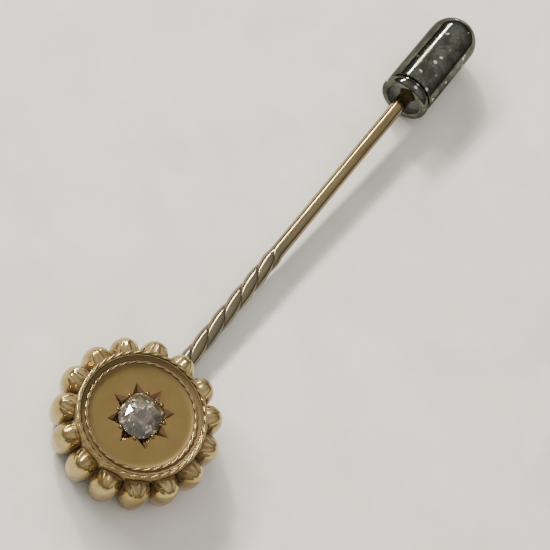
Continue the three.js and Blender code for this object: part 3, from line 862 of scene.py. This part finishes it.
def lobe_form(over_stem, chance):
    """A struck hollow lobe with graver's flutes fanned over its top."""
    form = new_form()
    grain = form.verts.layers.float[SHADE_AND_GRIME_LAYER]
    bmesh.ops.create_uvsphere(form, u_segments=96, v_segments=56, radius=1)
    waist = mix(LOBE_BOTTOM, LOBE_TOP, LOBE_WAIST)
    girth = LOBE_R * (1 - chance.uniform(0, GIRTH_SPREAD))
    lean = chance.uniform(-LEAN_SPREAD, LEAN_SPREAD)
    drop = chance.uniform(0, HEIGHT_SPREAD)
    shy = chance.uniform(0, REACH_SPREAD)
    off = chance.uniform(-FLUTE_TURN_SPREAD, FLUTE_TURN_SPREAD)
    worn = chance.uniform(*FLUTE_WEAR)
    for vert in form.verts:
        lift = vert.co.z
        spread = vert.co.xy.length
        blunt = LOBE_BLUNT_BELOW if lift < 0 else LOBE_BLUNT_ABOVE
        reach = spread**blunt / max(spread, TINY)
        height = (waist - LOBE_BOTTOM) if lift < 0 else (LOBE_TOP - drop - waist)
        shoulder = mix(1, SHOULDER_FULLNESS, smooth_step(-vert.co.x, 0, 0.7))
        if lift > 0:
            lift = lift**shoulder
        cut = flute(vert.co, off) * worn
        x = vert.co.x * reach * (girth - cut * 0.5) + LOBE_TRACK - shy
        y = vert.co.y * reach * (girth - cut * 0.5)
        z = waist + lift * (height - cut)
        vert.co = (x, y + lean * (z - waist), z)
        # painted shade with grime down in the flutes
        vert[grain] = smooth_step(cut, FLUTE_DEPTH / 4, FLUTE_DEPTH)
    push_out_of_band(form)
    if over_stem:
        file_short(form)
    return form


def flute(place, off):
    """How deep the flutes cut at a place on the unit sphere that becomes the lobe."""
    away = LOBE_R + FLUTE_PIVOT - place.x * LOBE_R
    angle = math.atan2(place.y * LOBE_R, away) + off
    groove = (1 - math.cos(FULL_TURN * angle / FLUTE_SPACING)) / 2
    inside = 1 - smooth_step(abs(angle), FLUTE_SPAN * 0.8, FLUTE_SPAN)
    run_out = smooth_step(away - FLUTE_PIVOT, 0.25, FLUTE_LENGTH)
    top = smooth_step(place.z, 0.05, 0.55)
    return FLUTE_DEPTH * groove * inside * run_out * top


def file_short(form):
    """Files the lobe's lower part off and hollows what is left."""
    bmesh.ops.bisect_plane(
        form, geom=form.verts[:] + form.edges[:] + form.faces[:],
        plane_co=(0, 0, LOBE_FILED_Z), plane_no=(0, 0, 1), clear_inner=True,
    )
    bmesh.ops.remove_doubles(form, verts=form.verts, dist=MERGE_DISTANCE)
    rim = [vert for vert in form.verts if vert.is_boundary]
    middle = sum((vert.co for vert in rim), Vector()) / len(rim)
    for width, rise in FILED_HOLLOW:
        rim = stepped_in(form, rim)
        for vert in rim:
            vert.co = middle + (vert.co - middle) * width + Vector((0, 0, rise))
    bmesh.ops.holes_fill(form, edges=form.edges, sides=0)


def push_out_of_band(form):
    """Presses the side that faces the head on to the gallery wall."""
    seat = BAND_OUT + GAP
    for vert in form.verts:
        reach = vert.co.xy.length
        if reach < seat:
            vert.co.xy = vert.co.xy * (seat / reach)


def lobes():
    for i in range(LOBE_COUNT):
        number = f"{i + 1:02d}"
        chance = random.Random(100 + i)
        form = lobe_form(i == 0, chance)
        paint_shade_at_lobe_base(form)
        bmesh.ops.rotate(
            form, cent=(0, 0, 0), verts=form.verts,
            matrix=Matrix.Rotation(i / LOBE_COUNT * FULL_TURN, 3, "Z"),
        )
        piece(f"petal_{number}", form, [POLISHED], "polished_gold", "pin", f"lobe_{number}")


def paint_shade_at_lobe_base(form):
    """Painted shade with grime where a lobe meets the wall and its neighbours."""
    grain = form.verts.layers.float[SHADE_AND_GRIME_LAYER]
    for vert in form.verts:
        reach = vert.co.xy.length
        near_wall = 1 - smooth_step(reach, BAND_OUT, BAND_OUT + 0.45)
        beside = smooth_step(abs(vert.co.y) / max(reach, TINY), 0.155, 0.2)
        vert[grain] = min(1, max(vert[grain], 0.75 * near_wall, 0.8 * beside))


# ======== clutch ========


def inside_recess(depth, reach):
    """Grime inside the clutch's mouth."""
    return smooth_step(depth, 0.05, 0.3) * (1 - smooth_step(reach, RECESS_R, RECESS_R + 0.1))


def clutch():
    collar = turned_on_stem(
        [
            (RECESS_R, 0, MOUTH_ROUND),
            (FLANGE_R, 0, FLANGE_ROUND),
            (FLANGE_R, FLANGE_LENGTH, FLANGE_ROUND),
            (NECK_R, FLANGE_LENGTH, 0),
            (NECK_R, NECK_END, 0.05),
            (COLLAR_OUT, NECK_END, 0),
            (COLLAR_OUT, COLLAR_END, 0.04),
            (COLLAR_IN, COLLAR_END, 0.04),
            (COLLAR_IN, CONE_END, 0),
            (CONE_START_R, GUIDE_END, 0),
            (GUIDE_R, GUIDE_END, 0.03),
            (GUIDE_R, RECESS_DEPTH, 0.06),
            (RECESS_R, RECESS_DEPTH, 0.1),
        ]
    )
    paint_shade_and_grime(collar, lambda co: inside_recess(co.x - MOUTH_X, co.yz.length))
    piece("flanged_collar", collar, [NICKEL], "dark_nickel", "collar", "clutch_collar")

    cap_in = CAP_OUT - CAP_WALL
    socket_start = CAGE_HIGH.x - MOUTH_X - SOCKET_DEPTH
    cap = turned_on_stem(
        [
            (cap_in, CAP_START, 0.1),
            (CAP_OUT, CAP_START, CAP_EDGE_ROUND),
            (CAP_OUT, CAP_END, CAP_OUT - NOSE_FLAT),
            (0, CAP_END, 0),
            (0, CAGE_HIGH.x - MOUTH_X + GAP, 0),
            (CAGE_OUT + GAP, CAGE_HIGH.x - MOUTH_X + GAP, 0),
            (CAGE_OUT + GAP, socket_start, 0.05),
            (cap_in, socket_start, 0),
        ]
    )
    piece("bullet_cap", cap, [NICKEL], "dark_nickel", "cap", "clutch_cap")

    coil_spring()

    inside = ["collar_end_ring", "ball_cage", "spring_washer"]
    inside += [f"grip_ball_{i}" for i in (1, 2, 3)]
    for name in inside:
        node = frame["nodes"][name]
        node.data.materials.clear()
        node.data.materials.append(STEEL.material)


def coil_spring():
    """A coil round the cage, as long as the CAD spring."""
    coil_r = (CAGE_OUT + COLLAR_IN) / 2
    length = SPRING_HIGH.x - SPRING_LOW.x
    rise = length - 2 * COIL_WIRE_R
    steps = COIL_TURNS * COIL_STEPS_PER_TURN
    spring = new_form()
    bmesh.ops.create_circle(spring, segments=COIL_SECTION, radius=COIL_WIRE_R)
    stand = Matrix.Rotation(RIGHT_ANGLE, 4, "Z")
    start = Matrix.Translation((SPRING_LOW.x + COIL_WIRE_R, coil_r, 0))
    bmesh.ops.transform(spring, matrix=start @ stand, verts=spring.verts)
    bmesh.ops.spin(
        spring, geom=spring.verts[:] + spring.edges[:], cent=(0, 0, 0), axis=(1, 0, 0),
        dvec=(rise / steps, 0, 0), angle=COIL_TURNS * FULL_TURN, steps=steps,
    )
    bmesh.ops.holes_fill(spring, edges=spring.edges, sides=0)
    coil = piece("coil_spring", spring, [STEEL], "spring_steel", "collar", "clutch_spring")
    squeezed = 1 - PULL_LENGTH / length
    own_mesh(coil)


pin_stem()
rope_wire("inner_rope", "inner_rope_wire", INNER_LOW, INNER_HIGH, ROPE_TURNS_INNER)
rope_wire("rim_rope", "outer_rope_wire", OUTER_LOW, OUTER_HIGH, ROPE_TURNS_OUTER)
rings_and_plates()
face_disc()
old_cut_diamond()
lobes()
clutch()


# ======== floor, light and camera ========

REST_PAST_TRACK = 0.6  # where a lobe's round bottom meets the paper
PAPER_SIZE = 600
ROOM_HORIZON = 0.1
ROOM_DARK = 0.16
ROOM_BRIGHT = 1.0
WINDOW_DISTANCE = 0.6
CEILING_DISTANCE = 0.5
STEM_MIDDLE = HEAD + Vector((20 * MM, 0, 0))
CAMERA_ELEVATION = math.radians(62.2)
CAMERA_ROLL = math.radians(39.4)
CAMERA_LENS = 130.6
CAMERA_AIM = Vector((19.6, -1.1, 0))  # in millimetres from the middle of the head
CAMERA_DISTANCE = 0.171


def lay_floor():
    """Plain paper, tilted so that the lobes and the clutch's flange both rest on it."""
    head_rest = Vector((-LOBE_TRACK - REST_PAST_TRACK, 0, LOBE_BOTTOM))
    clutch_rest = Vector((MOUTH_X + FLANGE_LENGTH / 2, 0, -FLANGE_R))
    tilt = math.atan2(head_rest.z - clutch_rest.z, clutch_rest.x - head_rest.x)
    form = bmesh.new()
    bmesh.ops.create_grid(form, x_segments=2, y_segments=2, size=PAPER_SIZE)
    place = Matrix.Translation(head_rest - Vector((0, 0, GAP)))
    turn = Matrix.Rotation(tilt, 4, "Y")
    bmesh.ops.transform(form, matrix=PLACE @ place @ turn, verts=form.verts)
    mesh = bpy.data.meshes.new("paper_floor")
    form.to_mesh(mesh)
    form.free()
    mesh.materials.append(paper().material)
    floor = bpy.data.objects.new("paper_floor", mesh)
    bpy.context.scene.collection.objects.link(floor)


def area_light(name, direction, distance, width, height, power, colour, glossy=True):
    """A rectangular light, its width laid along the stem, that faces the object."""
    lamp = bpy.data.lights.new(name, "AREA")
    lamp.shape = "RECTANGLE"
    lamp.size, lamp.size_y = width, height
    lamp.energy = power
    lamp.color = colour
    holder = bpy.data.objects.new(name, lamp)
    bpy.context.scene.collection.objects.link(holder)
    away = Vector(direction).normalized()
    along = (Vector((1, 0, 0)) - away * away.x).normalized()
    turn = Matrix((along, away.cross(along), away)).transposed().to_4x4()
    place = STEM_MIDDLE + away * distance
    holder.matrix_world = Matrix.Translation(place) @ turn
    holder.visible_glossy = glossy
    return holder


def light_the_room():
    """A room that is lighter overhead, a narrow window along the stem, and soft fill."""
    world = bpy.data.worlds.new("room")
    bpy.context.scene.world = world
    world.use_nodes = True
    nodes, links = world.node_tree.nodes, world.node_tree.links
    look = nodes.new("ShaderNodeTexCoord")
    height = nodes.new("ShaderNodeSeparateXYZ")
    bright = nodes.new("ShaderNodeMapRange")
    bright.inputs["From Min"].default_value = ROOM_HORIZON
    bright.inputs["To Min"].default_value = ROOM_DARK
    bright.inputs["To Max"].default_value = ROOM_BRIGHT
    background = nodes["Background"]
    background.inputs["Color"].default_value = (1.0, 0.99, 0.96, 1)
    links.new(look.outputs["Generated"], height.inputs["Vector"])
    links.new(height.outputs["Z"], bright.inputs["Value"])
    links.new(bright.outputs["Result"], background.inputs["Strength"])
    window = (0.35, 0.75, 0.5)
    area_light("window", window, WINDOW_DISTANCE, 0.55, 0.05, 7.0, (1.0, 0.97, 0.9))
    soft, warm = (1.0, 0.98, 0.94), (1.0, 0.98, 0.95)
    key = (0.42, 0.7, 0.54)
    area_light("key", key, WINDOW_DISTANCE, 0.06, 0.06, 2.4, soft, glossy=False)
    fill = (0.1, -0.45, 1)
    area_light("ceiling", fill, CEILING_DISTANCE, 0.9, 0.9, 1.0, warm, glossy=False)


def set_camera():
    """Looks down the pin from behind the head, rolled so that the stem runs up right."""
    back = Vector((-math.cos(CAMERA_ELEVATION), 0, math.sin(CAMERA_ELEVATION)))
    level = Vector((0, -1, 0))
    upright = back.cross(level)
    right = level * math.cos(CAMERA_ROLL) + upright * math.sin(CAMERA_ROLL)
    up = upright * math.cos(CAMERA_ROLL) - level * math.sin(CAMERA_ROLL)
    data = bpy.data.cameras.new("camera")
    data.sensor_width = 36
    data.lens = CAMERA_LENS
    data.clip_start = 0.01
    data.clip_end = 10
    camera = bpy.data.objects.new("camera", data)
    bpy.context.scene.collection.objects.link(camera)
    aim = HEAD + CAMERA_AIM * MM
    turn = Matrix((right, up, back)).transposed().to_4x4()
    camera.matrix_world = Matrix.Translation(aim + back * CAMERA_DISTANCE) @ turn
    bpy.context.scene.camera = camera


lay_floor()
light_the_room()
set_camera()
